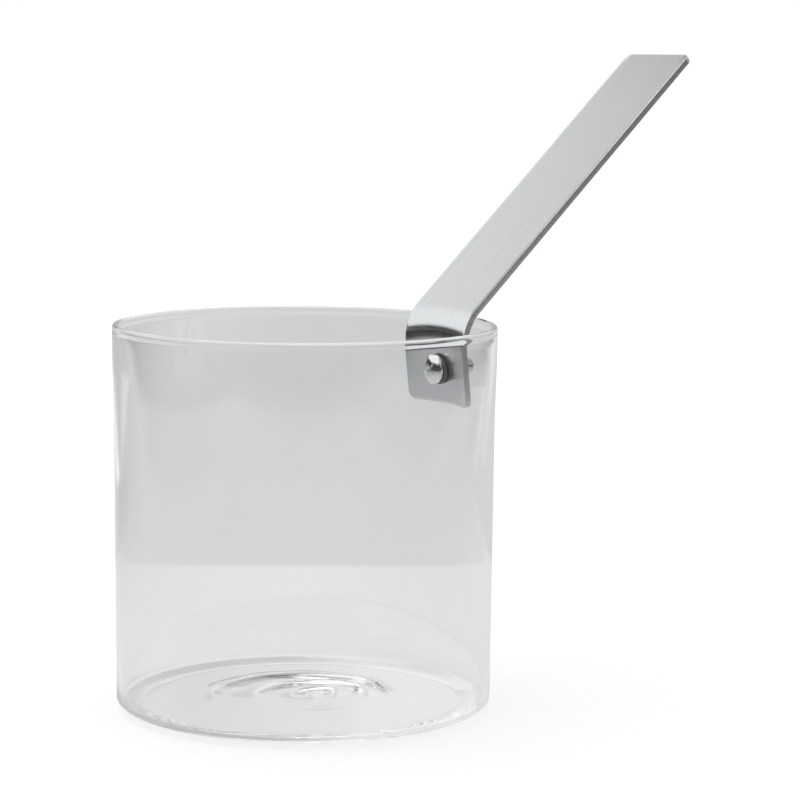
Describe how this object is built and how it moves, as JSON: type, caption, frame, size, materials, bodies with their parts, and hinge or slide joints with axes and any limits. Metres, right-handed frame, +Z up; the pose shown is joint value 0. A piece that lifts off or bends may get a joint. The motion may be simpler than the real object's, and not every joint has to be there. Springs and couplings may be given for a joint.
{
  "type": "milk pan",
  "caption": "Straight-sided clear glass pan; a flat steel strip inside the wall bends up over the rim as its handle, held by one screw.",
  "frame": {"origin": "centre of the underside of the glass vessel", "axes": "+Z up along the vessel's axis, +X from the vessel's axis through the handle screw towards the handle's end"},
  "size_m": [0.2006, 0.12, 0.2052],
  "materials": {
    "clear_glass": "clear, polished",
    "brushed_steel": "brushed along the strip",
    "screw_steel": "polished",
    "nut_steel": "satin",
    "washer_silicone": "matte",
    "spacer_silicone": "matte",
    "bush_silicone": "matte",
    "gasket_silicone": "matte"
  },
  "bodies": {
    "root": {"glass_vessel": "clear_glass", "handle_strip": "brushed_steel", "handle_screw": "screw_steel", "handle_nut": "nut_steel", "head_washer": "washer_silicone", "inner_spacer": "spacer_silicone", "hole_bush": "bush_silicone", "outer_gasket": "gasket_silicone"}
  },
  "joints": []
}
